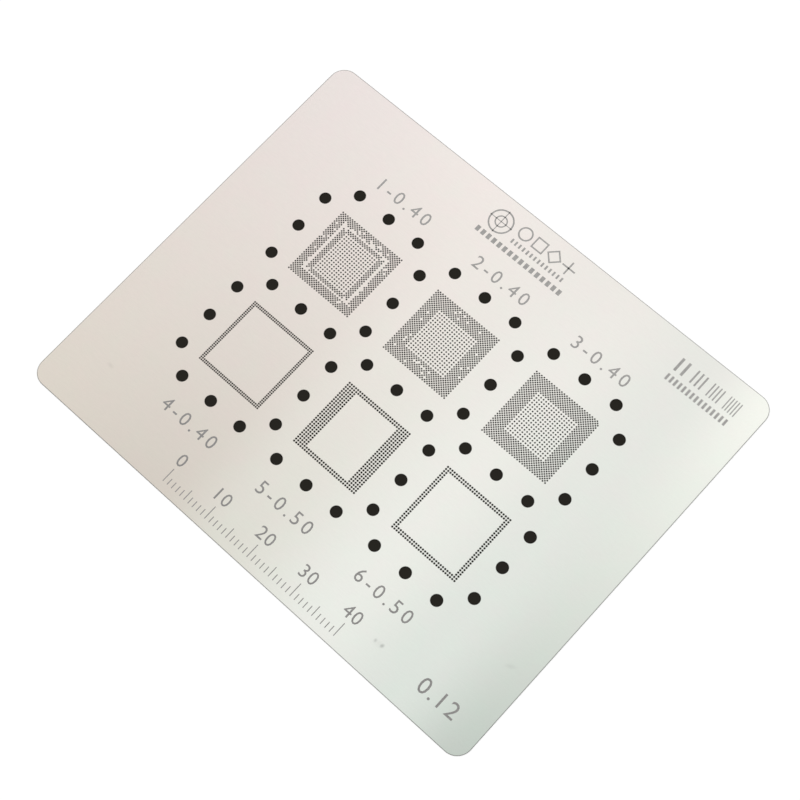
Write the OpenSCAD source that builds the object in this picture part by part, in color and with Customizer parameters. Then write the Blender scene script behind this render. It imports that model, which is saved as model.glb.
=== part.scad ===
// Solder paste stencil for six grid-array chip footprints, one flat foil.
// The foil lies flat on its underside. The origin is at the middle of that face.
// X runs along the long edge, Y along the short edge, Z up through the foil.

/* [Foil] */
// Length of the foil along X
sheet_w = 100.6; // [98:0.1:120]
// Width of the foil along Y
sheet_d = 80.6; // [78:0.1:100]
// Thickness of the foil
sheet_t = 0.12; // [0.08:0.01:0.3]
// Radius of the four corners
corner_r = 3; // [0.5:0.1:6]

/* [Vents] */
// Diameter of the round vents that keep the foil from bulging under heat
vent_d = 2.2; // [1:0.1:3]
// Spacing of the three vents on each side of a footprint
vent_pitch = 7; // [4:0.1:7.4]
// Spacing of the footprints, which is also that of the lines of vents
cell_pitch = 22.8; // [21:0.1:23.4]

/* [Ring and memory footprints] */
// Ball pitch of the fine ring footprint
fine_pitch = 0.4; // [0.36:0.01:0.4]
// Aperture diameter of the fine ring footprint
fine_d = 0.31; // [0.2:0.01:0.33]
// Ball pitch of the two memory footprints
memory_pitch = 0.5; // [0.46:0.01:0.5]
// Aperture diameter of the two memory footprints
memory_d = 0.37; // [0.2:0.01:0.39]
// Rows of apertures along the edges of these footprints
edge_rows = 2; // [1:1:3]
// Columns of apertures down each side of the wide memory footprint
side_columns = 5; // [2:1:6]

/* [Processor footprints] */
// Distance between nearest ball centres on the diagonal grid
diagonal_pitch = 0.4; // [0.36:0.01:0.4]
// Aperture diameter on the diagonal grid
diagonal_d = 0.29; // [0.2:0.01:0.32]

/* [Hidden] */
// Last column and row of each square ball grid, counted from 0
fine_last = 35;
memory_last = 28;
// The diagonal grid is a square grid of half steps, and every second place is a ball
half_step = diagonal_pitch / sqrt(2);
half_last = 50;
// Sides of a small circle, all of which are cut as true round holes
round_sides = 16;

// Distance of a grid place from the nearest edge of its grid, in steps
function edge_steps(i, last) = min(i, last - i);

// Centres of a square ball grid of which only the outer columns and rows are cut
function border_centres(last, pitch, columns, rows) = [
    for (i = [0:last])
        for (j = [0:last])
            if (edge_steps(i, last) < columns || edge_steps(j, last) < rows)
                [i - last / 2, j - last / 2] * pitch
];

// Centres of the outermost row of a diagonal grid, less the one place that is left solid
function diagonal_border(solid) = [
    for (i = [0:2:half_last])
        for (j = [0:2:half_last])
            if ((edge_steps(i, half_last) == 0 || edge_steps(j, half_last) == 0) && [i, j] != solid)
                [i - half_last / 2, j - half_last / 2] * half_step
];

// Flat outline of the foil with its rounded corners
module outline() {
    inner_w = sheet_w - 2 * corner_r;
    inner_d = sheet_d - 2 * corner_r;
    square([sheet_w, inner_d], center = true);
    square([inner_w, sheet_d], center = true);
    for (x = [-inner_w / 2, inner_w / 2])
        for (y = [-inner_d / 2, inner_d / 2])
            translate([x, y]) circle(r = corner_r, $fn = 48);
}

// Round holes of one diameter at a list of centres
module holes(centres, d) {
    for (c = centres)
        translate(c) circle(d = d, $fn = round_sides);
}

// Places a footprint in its cell: column -1, 0 or 1, row 1 for the upper line and -1 for the lower
module in_cell(column, row) {
    translate([column * cell_pitch, row * cell_pitch / 2]) children();
}

// Three vents along each side of every cell
module vents() {
    three = [-vent_pitch, 0, vent_pitch];
    lying = [for (row = [-1:1]) for (column = [-1:1]) for (step = three)
        [column * cell_pitch + step, row * cell_pitch]];
    standing = [for (line = [-1.5:1.5]) for (row = [-0.5, 0.5]) for (step = three)
        [line * cell_pitch, row * cell_pitch + step]];
    holes(concat(lying, standing), vent_d);
}

// Lower line of cells: a fine ring, a wide memory and a narrow memory footprint
module border_footprints() {
    in_cell(-1, -1) holes(border_centres(fine_last, fine_pitch, edge_rows, edge_rows), fine_d);
    in_cell(0, -1) holes(border_centres(memory_last, memory_pitch, side_columns, edge_rows), memory_d);
    in_cell(1, -1) holes(border_centres(memory_last, memory_pitch, edge_rows, edge_rows), memory_d);
}

// Upper line of cells: the outer rows of three processor footprints, two with one place left solid
module processor_footprints() {
    left_edge_place = [0, 30];
    corner_place = [half_last, half_last];
    in_cell(-1, 1) holes(diagonal_border(left_edge_place), diagonal_d);
    in_cell(0, 1) holes(diagonal_border([]), diagonal_d);
    in_cell(1, 1) holes(diagonal_border(corner_place), diagonal_d);
}

// The whole foil with everything that is cut through it
module stencil_sheet() {
    color([0.85, 0.84, 0.81])
    linear_extrude(height = sheet_t)
    difference() {
        outline();
        vents();
        border_footprints();
        processor_footprints();
    }
}

stencil_sheet();
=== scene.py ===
"""Solder paste stencil: a thin satin foil with round vents and six fields of fine apertures."""

import math

import bmesh
import bpy
from mathutils import Matrix, Vector


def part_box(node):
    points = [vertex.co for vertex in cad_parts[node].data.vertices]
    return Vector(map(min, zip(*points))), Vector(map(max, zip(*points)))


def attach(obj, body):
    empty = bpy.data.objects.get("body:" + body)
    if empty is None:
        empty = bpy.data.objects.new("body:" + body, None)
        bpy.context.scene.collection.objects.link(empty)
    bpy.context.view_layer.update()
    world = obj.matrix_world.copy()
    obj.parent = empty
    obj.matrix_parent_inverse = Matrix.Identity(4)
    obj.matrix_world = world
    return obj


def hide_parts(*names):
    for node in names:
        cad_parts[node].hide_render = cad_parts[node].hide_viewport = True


MM = 0.001

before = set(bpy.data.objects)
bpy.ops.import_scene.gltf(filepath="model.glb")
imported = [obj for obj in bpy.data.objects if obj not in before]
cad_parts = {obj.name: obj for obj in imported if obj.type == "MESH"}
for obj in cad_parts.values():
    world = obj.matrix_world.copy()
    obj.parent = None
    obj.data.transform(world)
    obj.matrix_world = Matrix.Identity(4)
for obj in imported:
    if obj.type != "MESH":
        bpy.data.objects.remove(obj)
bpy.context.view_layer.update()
foil_low, foil_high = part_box("stencil_sheet")
foil_size = foil_high - foil_low
foil_middle = (foil_low + foil_high) / 2
foil_top = foil_high.z

# Foil and vents
CORNER_RADIUS = 3 * MM
CORNER_SEGMENTS = 12
EDGE_ROUND = 0.03 * MM
EDGE_SEGMENTS = 2
EDGE_ANGLE = math.radians(60)
VENT_DIAMETER = 2.2 * MM
VENT_PITCH = 7 * MM
VENT_SIDES = 32
PUNCH_LENGTH = 3 * foil_size.z
CELL_PITCH = 22.8 * MM

# Ball grids: last column and row counted from 0, pitch and aperture diameter
FINE_LAST, FINE_PITCH, FINE_DIAMETER = 35, 0.4 * MM, 0.31 * MM
MEMORY_LAST, MEMORY_PITCH, MEMORY_DIAMETER = 28, 0.5 * MM, 0.37 * MM
HALF_LAST, HALF_STEP, DIAGONAL_DIAMETER = 50, 0.4 * MM / math.sqrt(2), 0.29 * MM
EDGE_ROWS = 2
SIDE_COLUMNS = 5
APERTURE_SIDES = 10

# A processor grid keeps only its odd places between these half steps
CORE = (10, 40)
NARROW_CORE = (12, 38)
# Solid moat of the first processor grid: its left and right columns, and its end rows
MOAT_LEFT = (6, 7)
MOAT_RIGHT = (43, 44)
MOAT_ROWS = (6, 44)

# Balls that the processor grids leave out, as column and row in half steps from the lower left
FIRST_SOLID = {
    (6, 46), (7, 45), (5, 9), (5, 13), (13, 45), (15, 45), (17, 47), (18, 46), (20, 48), (23, 45),
    (27, 47), (28, 46), (29, 45), (30, 46), (31, 45), (33, 47), (34, 48), (35, 47), (37, 45),
    (41, 47), (2, 42), (4, 38), (4, 32), (2, 30), (0, 30), (3, 21), (46, 38), (47, 39),
    (48, 36), (45, 23), (45, 19), (45, 15), (39, 3), (40, 4), (46, 6),
    (9, 43), (10, 42), (41, 43), (40, 42), (9, 7), (10, 8), (41, 7), (40, 8),
}
SECOND_SOLID = {
    (20, 48), (24, 48), (18, 46), (28, 46), (38, 46), (22, 44), (5, 35), (5, 29), (46, 34),
    (48, 24), (45, 21), (48, 16), (7, 17), (6, 14), (6, 12), (4, 6), (20, 6), (22, 6), (23, 7),
    (26, 6), (28, 6), (32, 6), (16, 2), (29, 3), (32, 2),
}
THIRD_SOLID = {(50, 50)}

# Etched marks: they rise this far over the foil and reach this far into it
MARK_RISE = 0.004 * MM
MARK_DEPTH = 0.008 * MM
MARK_THICKNESS = MARK_RISE + MARK_DEPTH
MARK_MIDDLE_Z = foil_top + (MARK_RISE - MARK_DEPTH) / 2

# Layout of the marks, all in millimetres from the foil's middle
FINE_STROKE = 0.16
NUMERAL_SHARE = 0.69
NUMERAL_CURVE_STEPS = 3
WELD_DISTANCE = 0.001 * MM

# Footprint numbers: column and line of each cell with its ball pitch
FOOTPRINTS = (((-1, 1), "0.40"), ((0, 1), "0.40"), ((1, 1), "0.40"),
              ((-1, -1), "0.40"), ((0, -1), "0.50"), ((1, -1), "0.50"))
LABEL_UPPER_Y = 27.1
LABEL_LOWER_Y = -28.1
LABEL_HEIGHT = 2.5
LABEL_SPACING = 1.35

# Rule: its ticks' lengths, longest first, each with how many divisions lie between two of them
RULE_X = 1.1
RULE_Y = -38.6
RULE_DIVISIONS = 40
RULE_STEP = 1.0
RULE_TICKS = ((10, 2.8), (5, 2.1), (1, 1.3))
RULE_NUMERAL_RISE = 4.8
RULE_NUMERAL_HEIGHT = 2.4
RULE_NUMERAL_SPACING = 1.1

# Target: outer radius, stroke and sides of its rings, and length of its cross
TARGET_PLACE = (-7.5, 35.6)
TARGET_RINGS = ((2.4, 0.3, 32), (1.2, 0.25, 24))
TARGET_CROSS = 5.0

# Figures in a row: outer radius, stroke, sides and turn in degrees, then a cross's length and
# stroke
FIGURES_PLACE = (-2.6, 36.6)
FIGURE_PITCH = 3.3
FIGURES = ((1.4, 0.3, 28, 0), (1.75, 0.4, 4, 45), (1.6, 0.4, 4, 0))
FIGURE_CROSS = (2.8, 0.3)

# Rows of upright strokes: x, y, width, height, strokes, and the stroke's share of its pitch
FIGURE_COMBS = ((2.1, 34.1, 12.2, 0.9, 14, 0.42), (-0.4, 32.0, 20.0, 1.1, 16, 0.6))
BLOCK_COMB = (39.2, 32.5, 13.4, 1.3, 15, 0.5)

# Blocks of lines, each finer than the one before
BLOCKS_PLACE = (39.2, 35.5)
BLOCK_LINES = (2, 3, 4, 5)
BLOCK_PITCH = 3.6
BLOCK_SIZE = 2.8
BLOCK_LINE_SHARE = 0.36

# Thickness in figures: text, x, y, height and spacing
THICKNESS_NUMBER = ("0.12", 40.9, -34.6, 2.9, 1.15)

# Foil tones with painted reflection, from its left end to its right end, along its near and its far
# long edge
NEAR_REFLECTION_TONES = ((0.0, (0.80, 0.74, 0.665)), (0.32, (0.74, 0.685, 0.62)), (0.46, (0.80, 0.79, 0.72)),
              (0.68, (0.89, 0.91, 0.86)), (0.85, (0.77, 0.82, 0.77)), (1.0, (0.57, 0.63, 0.58)))
FAR_REFLECTION_TONES = ((0.0, (0.96, 0.88, 0.86)), (0.35, (0.97, 0.905, 0.87)), (0.68, (0.90, 0.87, 0.83)),
             (0.87, (0.84, 0.84, 0.80)), (1.0, (0.96, 0.97, 0.91)))
# Faint clouds and rolling grain in those tones
CLOUD_SCALE, CLOUD_DETAIL, CLOUD_RANGE = 240.0, 3.0, (0.3, 0.7)
CLOUD_TINTS = ((1.0, 0.985, 0.985, 1), (0.985, 1.0, 0.985, 1))
GRAIN_SCALE, GRAIN_DETAIL, GRAIN_STRETCH = 900.0, 3.0, (1, 14, 14)
GRAIN_RANGE, GRAIN_SHARES = (0.25, 0.75), (0.975, 1.02)
ROUGH_RANGE, FOIL_ROUGHNESS = (0.2, 0.8), (0.34, 0.42)
GRAIN_BUMP, GRAIN_HEIGHT = 0.05, 0.002 * MM
# Cut walls, told by how far their faces turn away from straight up, and the foil's outer rim; their
# near-black is partly their own darker cut grey, partly painted shade
WALL_AND_SHADE_TONE = (0.05, 0.048, 0.045)
WALL_FACING = (0.6, 0.98)
# The rim is a dark line of painted shade on the top, along the rounded outline
RIM_SHADE_TONE = (0.16, 0.155, 0.145)
RIM_SHADE_WIDTH = 0.14 * MM
RIM_SHADE_FADE = 0.4
RIM_SHADE_SHARE = 0.8
# Painted shade darkens the top to this share of its tone at each hole's edge, and fades out over a
# reach
EDGE_SHADE_SHARE = 0.66
EDGE_SHADE_REACH = 0.11 * MM
EDGE_SHADE_SAMPLES = 8
# Specks and smears of dirt on the top: x, y, half length and half width in millimetres, turn in
# degrees, and the share of the foil's tone that is left at their middle
DIRT = (
    (26.8, -34.5, 0.55, 0.42, 96, 0.78), (28.25, -34.45, 0.63, 0.48, 63, 0.67),
    (27.6, -34.55, 1.5, 0.9, 5, 0.955), (46.1, -22.9, 1.5, 0.6, 27, 0.92),
    (-40.6, -29.8, 1.15, 0.55, -7, 0.915),
)
# Etched grey of the marks, and the share of it that they have along the near and the far long edge,
# the darker near edge being painted shade
MARK_TONES = ((0.3, (0.365, 0.355, 0.345)), (0.7, (0.465, 0.455, 0.44)))
MARK_SHADE_SHARES = (0.72, 1.05)
SPECKLE_SCALE, SPECKLE_DETAIL = 5200.0, 2.0
MARK_METALLIC = 0.6
MARK_ROUGHNESS = 0.6

# Studio
FLOOR_SIZE = 4
FLOOR_TONE = (0.80, 0.80, 0.80)
FLOOR_GLOW = 0.34
# Painted shade: a near-black patch on the floor under the foil, inset from its outline
HOLE_SHADE_TONE = (0.024, 0.022, 0.018)
HOLE_SHADE_INSET = 1.2 * MM
WORLD_STRENGTH = 0.8
# Name, place from the foil's middle, size, power and colour
LAMPS = (
    ("key_lamp", (0.2, 0.3, 0.9), 1.0, 0.8, (1.0, 1.0, 1.0)),
    ("fill_lamp", (-0.7, -0.3, 0.7), 0.8, 0.5, (1.0, 0.98, 0.95)),
)
CAMERA_TARGET = (-2.56 * MM, -6.8 * MM, 0)
CAMERA_AZIMUTH = 53.9
CAMERA_ELEVATION = 70.87
CAMERA_ROLL = 11.69
CAMERA_DISTANCE = 310.75 * MM
CAMERA_LENS = 81.4
CAMERA_SENSOR = 36
CAMERA_SHIFT = (0.0511, 0.0112)
CAMERA_CLIP = (0.01, 10)


# ---------------------------------------------------------------- helpers

def deselect_all():
    if bpy.context.mode != "OBJECT":
        bpy.ops.object.mode_set(mode="OBJECT")
    bpy.ops.object.select_all(action="DESELECT")


def make_active(piece):
    deselect_all()
    piece.select_set(True)
    bpy.context.view_layer.objects.active = piece


def settle(piece):
    """Puts a finished piece's place into its mesh, so its object sits at the origin."""
    make_active(piece)
    bpy.ops.object.transform_apply(location=True, rotation=True, scale=True)


def on_foil(x, y, z):
    """A place given in millimetres from the foil's middle, at the height z."""
    return Vector((foil_middle.x + x * MM, foil_middle.y + y * MM, z))


def join(pieces, name):
    make_active(pieces[0])
    for piece in pieces[1:]:
        piece.select_set(True)
    if len(pieces) > 1:
        bpy.ops.object.join()
    joined = bpy.context.view_layer.objects.active
    joined.name = name
    return joined


# ---------------------------------------------------------------- places of the holes

def edge_steps(i, last):
    return min(i, last - i)


def within(value, ends):
    return ends[0] <= value <= ends[1]


def cell(column, row):
    """Middle of a cell: column -1, 0 or 1, row 1 for the upper line and -1 for the lower."""
    return Vector((foil_middle.x + column * CELL_PITCH, foil_middle.y + row * CELL_PITCH / 2))


def vent_places():
    steps = (-VENT_PITCH, 0, VENT_PITCH)
    lying = [cell(column, 2 * row) + Vector((step, 0))
             for row in (-1, 0, 1) for column in (-1, 0, 1) for step in steps]
    standing = [cell(line, row) + Vector((0, step))
                for line in (-1.5, -0.5, 0.5, 1.5) for row in (-1, 1) for step in steps]
    return lying + standing


def border_places(middle, last, pitch, columns, rows):
    """A square ball grid of which only the outer columns and rows are cut."""
    return [middle + Vector((i - last / 2, j - last / 2)) * pitch
            for i in range(last + 1) for j in range(last + 1)
            if edge_steps(i, last) < columns or edge_steps(j, last) < rows]


def in_core(i, j, columns):
    return i % 2 == 0 and within(i, columns) and within(j, CORE)


def in_moat(i, j):
    beside = within(i, MOAT_LEFT) or within(i, MOAT_RIGHT)
    inside = within(i, (MOAT_LEFT[0], MOAT_RIGHT[1])) and within(j, MOAT_ROWS)
    return inside and (beside or j in MOAT_ROWS)


def processor_places(middle, columns, moat, solid):
    """A diagonal ball grid, less its core's even places, its moat and its solid places."""
    return [middle + Vector((i - HALF_LAST / 2, j - HALF_LAST / 2)) * HALF_STEP
            for i in range(HALF_LAST + 1) for j in range(i % 2, HALF_LAST + 1, 2)
            if not in_core(i, j, columns) and not (moat and in_moat(i, j)) and (i, j) not in solid]


# ---------------------------------------------------------------- the foil

def punch(diameter, sides):
    """One round punch that reaches through the foil."""
    deselect_all()
    bpy.ops.mesh.primitive_cylinder_add(
        vertices=sides, radius=diameter / 2, depth=PUNCH_LENGTH,
        location=(0, 0, foil_middle.z))
    piece = bpy.context.object
    settle(piece)
    return piece


def punch_field(places, diameter, sides):
    """The same punch at each place, all in one cutter."""
    one = punch(diameter, sides)
    field = bmesh.new()
    at = Vector((0, 0))
    for place in places:
        one.data.transform(Matrix.Translation((place - at).to_3d()))
        field.from_mesh(one.data)
        at = place
    field.to_mesh(one.data)
    field.free()
    return one


def foil_blank():
    """Rounded plate of the foil's own thickness, its rims a little rounded."""
    deselect_all()
    bpy.ops.mesh.primitive_plane_add(size=1, location=on_foil(0, 0, foil_low.z))
    plate = bpy.context.object
    plate.scale = (foil_size.x, foil_size.y, 1)
    settle(plate)
    bpy.ops.object.mode_set(mode="EDIT")
    bpy.ops.mesh.select_all(action="SELECT")
    bpy.ops.mesh.bevel(
        offset=CORNER_RADIUS, offset_type="OFFSET", segments=CORNER_SEGMENTS, affect="VERTICES")
    bpy.ops.mesh.select_all(action="SELECT")
    bpy.ops.mesh.extrude_region_move(TRANSFORM_OT_translate={"value": (0, 0, foil_size.z)})
    bpy.ops.mesh.select_all(action="SELECT")
    bpy.ops.mesh.normals_make_consistent(inside=False)
    bpy.ops.object.mode_set(mode="OBJECT")
    rim = plate.modifiers.new("rim", "BEVEL")
    rim.width = EDGE_ROUND
    rim.segments = EDGE_SEGMENTS
    rim.limit_method = "ANGLE"
    rim.angle_limit = EDGE_ANGLE
    make_active(plate)
    bpy.ops.object.modifier_apply(modifier=rim.name)
    return plate


def cut(plate, cutter):
    taking = plate.modifiers.new("cut", "BOOLEAN")
    taking.operation = "DIFFERENCE"
    taking.solver = "MANIFOLD"
    taking.object = cutter
    make_active(plate)
    bpy.ops.object.modifier_apply(modifier=taking.name)
    bpy.data.objects.remove(cutter)


def make_foil():
    memory = (MEMORY_LAST, MEMORY_PITCH)
    memory_places = (
        border_places(cell(0, -1), *memory, SIDE_COLUMNS, EDGE_ROWS)
        + border_places(cell(1, -1), *memory, EDGE_ROWS, EDGE_ROWS))
    fine_places = border_places(cell(-1, -1), FINE_LAST, FINE_PITCH, EDGE_ROWS, EDGE_ROWS)
    diagonal_places = (
        processor_places(cell(-1, 1), NARROW_CORE, True, FIRST_SOLID)
        + processor_places(cell(0, 1), CORE, False, SECOND_SOLID)
        + processor_places(cell(1, 1), CORE, False, THIRD_SOLID))
    cutter = join([
        punch_field(vent_places(), VENT_DIAMETER, VENT_SIDES),
        punch_field(memory_places, MEMORY_DIAMETER, APERTURE_SIDES),
        punch_field(fine_places, FINE_DIAMETER, APERTURE_SIDES),
        punch_field(diagonal_places, DIAGONAL_DIAMETER, APERTURE_SIDES),
    ], "punches")
    foil = foil_blank()
    cut(foil, cutter)
    foil.name = "foil"
    foil.data.name = "foil"
    return foil


# ---------------------------------------------------------------- etched marks

def bar(x, y, width, height):
    """A thin etched stroke, centred at x, y in millimetres from the foil's middle."""
    deselect_all()
    bpy.ops.mesh.primitive_cube_add(size=1, location=on_foil(x, y, MARK_MIDDLE_Z))
    piece = bpy.context.object
    piece.scale = (width * MM, height * MM, MARK_THICKNESS)
    settle(piece)
    return piece


def loop_mark(x, y, outer, stroke, sides, turn=0.0):
    """A closed outline of a regular figure, such as a ring or a square; turn is in radians."""
    deselect_all()
    bpy.ops.mesh.primitive_circle_add(
        vertices=sides, radius=(outer - stroke) * MM, rotation=(0, 0, turn),
        location=on_foil(x, y, foil_top - MARK_DEPTH))
    piece = bpy.context.object
    settle(piece)
    bpy.ops.object.mode_set(mode="EDIT")
    bpy.ops.mesh.select_all(action="SELECT")
    bpy.ops.mesh.extrude_edges_move()
    grow = outer / (outer - stroke)
    bpy.ops.transform.resize(value=(grow, grow, 1), center_override=on_foil(x, y, foil_top))
    bpy.ops.mesh.select_all(action="SELECT")
    bpy.ops.mesh.extrude_region_move(TRANSFORM_OT_translate={"value": (0, 0, MARK_THICKNESS)})
    bpy.ops.mesh.select_all(action="SELECT")
    bpy.ops.mesh.normals_make_consistent(inside=False)
    bpy.ops.object.mode_set(mode="OBJECT")
    return piece


def numerals(text, x, y, height, spacing):
    """Plain numerals of a given height, centred at x, y."""
    deselect_all()
    bpy.ops.object.text_add()
    piece = bpy.context.object
    piece.data.body = text
    piece.data.size = height * MM / NUMERAL_SHARE
    piece.data.space_character = spacing
    piece.data.resolution_u = NUMERAL_CURVE_STEPS
    piece.data.extrude = MARK_THICKNESS / 2
    bpy.ops.object.convert(target="MESH")
    piece = bpy.context.object
    bpy.ops.object.mode_set(mode="EDIT")
    bpy.ops.mesh.select_all(action="SELECT")
    bpy.ops.mesh.remove_doubles(threshold=WELD_DISTANCE)
    bpy.ops.object.mode_set(mode="OBJECT")
    middle = (Vector(piece.bound_box[0]) + Vector(piece.bound_box[6])) / 2
    piece.data.transform(Matrix.Translation(on_foil(x, y, MARK_MIDDLE_Z) - middle))
    return piece


def footprint_numbers():
    """A position number and the ball pitch, above or below each footprint."""
    labels = []
    for number, ((column, row), pitch) in enumerate(FOOTPRINTS, start=1):
        middle_x = column * CELL_PITCH / MM
        middle_y = LABEL_UPPER_Y if row > 0 else LABEL_LOWER_Y
        labels.append(
            numerals(f"{number}-{pitch}", middle_x, middle_y, LABEL_HEIGHT, LABEL_SPACING))
    return labels


def rule_marks():
    """A graduated rule with a numeral at each of its longest ticks."""
    numbered = RULE_TICKS[0][0]
    marks = []
    for step in range(RULE_DIVISIONS + 1):
        length = next(length for every, length in RULE_TICKS if step % every == 0)
        x = RULE_X + (step - RULE_DIVISIONS / 2) * RULE_STEP
        marks.append(bar(x, RULE_Y + length / 2, FINE_STROKE, length))
        if step % numbered == 0:
            marks.append(numerals(str(step), x, RULE_Y + RULE_NUMERAL_RISE,
                                  RULE_NUMERAL_HEIGHT, RULE_NUMERAL_SPACING))
    return marks


def cross(x, y, length, stroke):
    return [bar(x, y, length, stroke), bar(x, y, stroke, length)]


def target_mark():
    """Rings and a cross that a microscope is centred on."""
    rings = [loop_mark(*TARGET_PLACE, *ring) for ring in TARGET_RINGS]
    return rings + cross(*TARGET_PLACE, TARGET_CROSS, FINE_STROKE)


def figure_row():
    """Plain figures in a row: ring, square, lozenge and cross."""
    x, y = FIGURES_PLACE
    closed = [loop_mark(x + place * FIGURE_PITCH, y, outer, stroke, sides, math.radians(turn))
              for place, (outer, stroke, sides, turn) in enumerate(FIGURES)]
    return closed + cross(x + len(FIGURES) * FIGURE_PITCH, y, *FIGURE_CROSS)


def comb(x, y, width, height, teeth, share):
    """An even row of upright strokes."""
    pitch = width / teeth
    return [bar(x + (i + 0.5 - teeth / 2) * pitch, y, pitch * share, height) for i in range(teeth)]


def line_blocks():
    """Blocks of lines, each finer than the one before."""
    x, y = BLOCKS_PLACE
    marks = []
    for block, lines in enumerate(BLOCK_LINES):
        block_x = x + (block - (len(BLOCK_LINES) - 1) / 2) * BLOCK_PITCH
        marks += comb(block_x, y, BLOCK_SIZE, BLOCK_SIZE, lines, BLOCK_LINE_SHARE)
    return marks


def make_marks():
    groups = {
        "footprint_numbers": footprint_numbers(),
        "rule": rule_marks(),
        "target": target_mark(),
        "figures": figure_row() + [stroke for row in FIGURE_COMBS for stroke in comb(*row)],
        "line_blocks": line_blocks() + comb(*BLOCK_COMB),
        "thickness_number": [numerals(*THICKNESS_NUMBER)],
    }
    return [join(pieces, name + "_marks") for name, pieces in groups.items()]


# ---------------------------------------------------------------- materials

def new_material(name):
    material = bpy.data.materials.new(name)
    material.use_nodes = True
    nodes = material.node_tree.nodes
    return material, nodes, material.node_tree.links, nodes["Principled BSDF"]


def mix_colours(nodes, links, factor, first, second, blend="MIX"):
    """A colour mix; each input is a node's output or a plain value."""
    mix = nodes.new("ShaderNodeMix")
    mix.data_type = "RGBA"
    mix.blend_type = blend
    for socket, value in ((mix.inputs[0], factor), (mix.inputs[6], first), (mix.inputs[7], second)):
        if isinstance(value, bpy.types.NodeSocket):
            links.new(value, socket)
        else:
            socket.default_value = value
    return mix.outputs[2]


def map_range(nodes, links, value, source, target=(0, 1), smooth=False):
    ranged = nodes.new("ShaderNodeMapRange")
    ranged.interpolation_type = "SMOOTHSTEP" if smooth else "LINEAR"
    links.new(value, ranged.inputs["Value"])
    ranged.inputs["From Min"].default_value, ranged.inputs["From Max"].default_value = source
    ranged.inputs["To Min"].default_value, ranged.inputs["To Max"].default_value = target
    return ranged.outputs["Result"]


def colour_ramp(nodes, links, value, stops):
    ramp = nodes.new("ShaderNodeValToRGB")
    ramp.color_ramp.interpolation = "EASE"
    elements = ramp.color_ramp.elements
    while len(elements) < len(stops):
        elements.new(0.5)
    for element, (place, colour) in zip(elements, stops):
        element.position = place
        element.color = (*colour, 1)
    links.new(value, ramp.inputs["Fac"])
    return ramp.outputs["Color"]


def maths(nodes, links, operation, first, second=None, third=None):
    """One maths node; each input is a plain number or another node's output."""
    node = nodes.new("ShaderNodeMath")
    node.operation = operation
    for place, value in enumerate((first, second, third)):
        if value is None:
            continue
        if isinstance(value, (int, float)):
            node.inputs[place].default_value = value
        else:
            links.new(value, node.inputs[place])
    return node.outputs[0]


def object_coordinates(nodes, links):
    """Coordinates on the piece, whole and split into X, Y and Z."""
    coordinates = nodes.new("ShaderNodeTexCoord").outputs["Object"]
    split = nodes.new("ShaderNodeSeparateXYZ")
    links.new(coordinates, split.inputs["Vector"])
    return coordinates, split.outputs


def noise(nodes, links, coordinates, scale, detail, stretch=(1, 1, 1)):
    mapping = nodes.new("ShaderNodeMapping")
    mapping.inputs["Scale"].default_value = stretch
    texture = nodes.new("ShaderNodeTexNoise")
    texture.inputs["Scale"].default_value = scale
    texture.inputs["Detail"].default_value = detail
    links.new(coordinates, mapping.inputs["Vector"])
    links.new(mapping.outputs["Vector"], texture.inputs["Vector"])
    return texture.outputs["Fac"]


def edge_distance(nodes, links, coordinates):
    """Distance from the foil's rounded outline, negative inside it."""
    def vector_step(operation, vector, other=None):
        step = nodes.new("ShaderNodeVectorMath")
        step.operation = operation
        links.new(vector, step.inputs[0])
        if other is not None:
            step.inputs[1].default_value = other
        return step.outputs["Value" if operation == "LENGTH" else "Vector"]

    core = (foil_size.x / 2 - CORNER_RADIUS, foil_size.y / 2 - CORNER_RADIUS, 1)
    centred = vector_step("SUBTRACT", coordinates, foil_middle)
    beyond = vector_step("SUBTRACT", vector_step("ABSOLUTE", centred), core)
    reach = vector_step("LENGTH", vector_step("MAXIMUM", beyond, (0, 0, 0)))
    return maths(nodes, links, "SUBTRACT", reach, CORNER_RADIUS)


def cut_share(nodes, links):
    """1 on bare foil, less in a narrow ring of painted shade around each hole and along the outer
    edge.
    """
    occlusion = nodes.new("ShaderNodeAmbientOcclusion")
    occlusion.inside = True
    occlusion.only_local = True
    occlusion.samples = EDGE_SHADE_SAMPLES
    occlusion.inputs["Distance"].default_value = EDGE_SHADE_REACH
    return map_range(nodes, links, occlusion.outputs["AO"], (0.5, 1), (EDGE_SHADE_SHARE, 1))


def clean_share(nodes, links, coordinates):
    """1 on clean foil, less where its top carries a speck or a smear of dirt."""
    clean = None
    for x, y, length, width, turn, share in DIRT:
        spot = nodes.new("ShaderNodeMapping")
        spot.vector_type = "TEXTURE"
        spot.inputs["Location"].default_value = on_foil(x, y, foil_top)
        spot.inputs["Rotation"].default_value = (0, 0, math.radians(turn))
        spot.inputs["Scale"].default_value = (length * MM, width * MM, foil_size.z / 2)
        links.new(coordinates, spot.inputs["Vector"])
        reach = nodes.new("ShaderNodeVectorMath")
        reach.operation = "LENGTH"
        links.new(spot.outputs["Vector"], reach.inputs[0])
        left = map_range(nodes, links, reach.outputs["Value"], (0, 1), (share, 1), smooth=True)
        clean = left if clean is None else maths(nodes, links, "MULTIPLY", clean, left)
    return clean


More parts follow.
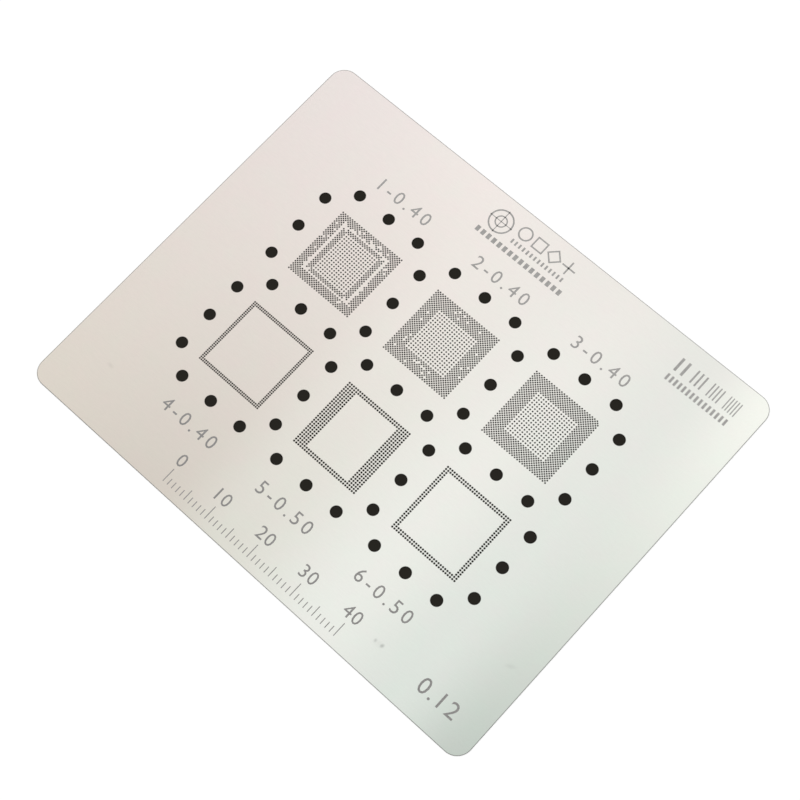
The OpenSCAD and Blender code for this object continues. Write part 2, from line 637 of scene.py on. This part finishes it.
def foil_material():
    """Satin rolled stainless foil: warm at one end, cool at the other in painted reflection, darker
    on its cut walls partly as painted shade.
    """
    material, nodes, links, shader = new_material("satin_foil")
    coordinates, split = object_coordinates(nodes, links)
    along = map_range(nodes, links, split["X"], (foil_low.x, foil_high.x))
    across = map_range(nodes, links, split["Y"], (foil_low.y, foil_high.y))
    # Painted reflection: the near and far ramps warm the left end, cool the right and darken the
    # near edge
    near = colour_ramp(nodes, links, along, NEAR_REFLECTION_TONES)
    far = colour_ramp(nodes, links, along, FAR_REFLECTION_TONES)
    tone = mix_colours(nodes, links, across, near, far)

    cloud = noise(nodes, links, coordinates, CLOUD_SCALE, CLOUD_DETAIL)
    tint = mix_colours(nodes, links, map_range(nodes, links, cloud, CLOUD_RANGE), *CLOUD_TINTS)
    grain = noise(nodes, links, coordinates, GRAIN_SCALE, GRAIN_DETAIL, GRAIN_STRETCH)
    streak = map_range(nodes, links, grain, GRAIN_RANGE, GRAIN_SHARES)
    # Clouds, grain and dirt are the foil's own; the ring at each hole's edge is painted shade
    for share in (tint, streak, cut_share(nodes, links), clean_share(nodes, links, coordinates)):
        tone = mix_colours(nodes, links, 1.0, tone, share, "MULTIPLY")

    facing = nodes.new("ShaderNodeSeparateXYZ")
    links.new(nodes.new("ShaderNodeNewGeometry").outputs["Normal"], facing.inputs["Vector"])
    upright = maths(nodes, links, "ABSOLUTE", facing.outputs["Z"])
    # Cut walls go near-black: their own darker grey deepened by painted shade
    wall = map_range(nodes, links, upright, WALL_FACING, (1, 0))
    tone = mix_colours(nodes, links, wall, tone, (*WALL_AND_SHADE_TONE, 1))
    # A dark line of painted shade along the foil's outline
    inward = edge_distance(nodes, links, coordinates)
    rim = map_range(nodes, links, inward, (-RIM_SHADE_WIDTH, -RIM_SHADE_FADE * RIM_SHADE_WIDTH), (0, RIM_SHADE_SHARE))
    tone = mix_colours(nodes, links, rim, tone, (*RIM_SHADE_TONE, 1))
    links.new(tone, shader.inputs["Base Color"])

    shader.inputs["Metallic"].default_value = 1.0
    rough = map_range(nodes, links, grain, ROUGH_RANGE, FOIL_ROUGHNESS)
    links.new(rough, shader.inputs["Roughness"])
    bump = nodes.new("ShaderNodeBump")
    bump.inputs["Strength"].default_value = GRAIN_BUMP
    bump.inputs["Distance"].default_value = GRAIN_HEIGHT
    links.new(grain, bump.inputs["Height"])
    links.new(bump.outputs["Normal"], shader.inputs["Normal"])
    return material


def mark_material():
    """Laser-etched grey: rougher and darker than the foil, a little uneven."""
    material, nodes, links, shader = new_material("etched_grey")
    coordinates, split = object_coordinates(nodes, links)
    speckle = noise(nodes, links, coordinates, SPECKLE_SCALE, SPECKLE_DETAIL)
    tone = colour_ramp(nodes, links, speckle, MARK_TONES)
    # Darker along the near edge: painted shade
    share = map_range(nodes, links, split["Y"], (foil_low.y, foil_high.y), MARK_SHADE_SHARES)
    tone = mix_colours(nodes, links, 1.0, tone, share, "MULTIPLY")
    links.new(tone, shader.inputs["Base Color"])
    shader.inputs["Metallic"].default_value = MARK_METALLIC
    shader.inputs["Roughness"].default_value = MARK_ROUGHNESS
    return material


def floor_material():
    """Pale floor, with a near-black patch of painted shade where the foil lies, so its holes read
    dark.
    """
    material, nodes, links, shader = new_material("floor_pale")
    nodes.remove(shader)
    split = object_coordinates(nodes, links)[1]
    inside = maths(nodes, links, "MULTIPLY", *(
        maths(nodes, links, "COMPARE", split[axis], middle, size / 2 - HOLE_SHADE_INSET)
        for axis, middle, size in (("X", foil_middle.x, foil_size.x),
                                   ("Y", foil_middle.y, foil_size.y))))
    pale = nodes.new("ShaderNodeBsdfDiffuse")
    pale.inputs["Color"].default_value = (*FLOOR_TONE, 1)
    glow = nodes.new("ShaderNodeEmission")
    seen = nodes.new("ShaderNodeLightPath").outputs["Is Camera Ray"]
    links.new(maths(nodes, links, "MULTIPLY", seen, FLOOR_GLOW), glow.inputs["Strength"])
    lit = nodes.new("ShaderNodeAddShader")
    links.new(pale.outputs[0], lit.inputs[0])
    links.new(glow.outputs[0], lit.inputs[1])
    # The near-black patch under the foil is painted shade
    hole_shade = nodes.new("ShaderNodeBsdfDiffuse")
    hole_shade.inputs["Color"].default_value = (*HOLE_SHADE_TONE, 1)
    choose = nodes.new("ShaderNodeMixShader")
    links.new(inside, choose.inputs[0])
    links.new(lit.outputs[0], choose.inputs[1])
    links.new(hole_shade.outputs[0], choose.inputs[2])
    links.new(choose.outputs[0], nodes["Material Output"].inputs["Surface"])
    return material


# ---------------------------------------------------------------- studio

def make_floor():
    deselect_all()
    bpy.ops.mesh.primitive_plane_add(size=FLOOR_SIZE, location=on_foil(0, 0, foil_low.z))
    floor = bpy.context.object
    floor.name = "floor"
    settle(floor)
    floor.data.materials.append(floor_material())


def make_world():
    world = bpy.data.worlds.new("studio")
    bpy.context.scene.world = world
    world.use_nodes = True
    background = world.node_tree.nodes["Background"]
    background.inputs["Color"].default_value = (1, 1, 1, 1)
    background.inputs["Strength"].default_value = WORLD_STRENGTH


def make_lamp(name, place, size, power, colour):
    """A square soft lamp that looks at the foil's middle; place is from there."""
    deselect_all()
    bpy.ops.object.light_add(type="AREA", location=foil_middle + Vector(place))
    lamp = bpy.context.object
    lamp.name = name
    lamp.data.size = size
    lamp.data.energy = power
    lamp.data.color = colour
    lamp.rotation_euler = (-Vector(place)).to_track_quat("-Z", "Y").to_euler()


def make_camera():
    deselect_all()
    target = foil_middle + Vector(CAMERA_TARGET)
    around, above = math.radians(CAMERA_AZIMUTH), math.radians(CAMERA_ELEVATION)
    back = Vector((math.sin(around) * math.cos(above), -math.cos(around) * math.cos(above),
                   math.sin(above)))
    bpy.ops.object.camera_add(location=target + back * CAMERA_DISTANCE)
    camera = bpy.context.object
    camera.rotation_mode = "QUATERNION"
    roll = Matrix.Rotation(-math.radians(CAMERA_ROLL), 4, "Z").to_quaternion()
    camera.rotation_quaternion = (-back).to_track_quat("-Z", "Y") @ roll
    camera.data.sensor_width = CAMERA_SENSOR
    camera.data.lens = CAMERA_LENS
    camera.data.shift_x, camera.data.shift_y = CAMERA_SHIFT
    camera.data.clip_start, camera.data.clip_end = CAMERA_CLIP
    bpy.context.scene.camera = camera


# ---------------------------------------------------------------- assembly

bpy.context.scene.view_settings.view_transform = "Standard"
make_camera()
make_world()
make_floor()
for lamp in LAMPS:
    make_lamp(*lamp)

foil = make_foil()
foil.data.materials.clear()
foil.data.materials.append(foil_material())
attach(foil, "root")
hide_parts("stencil_sheet")

etched = mark_material()
for marks in make_marks():
    marks.data.name = marks.name
    marks.data.materials.clear()
    marks.data.materials.append(etched)
    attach(marks, "root")
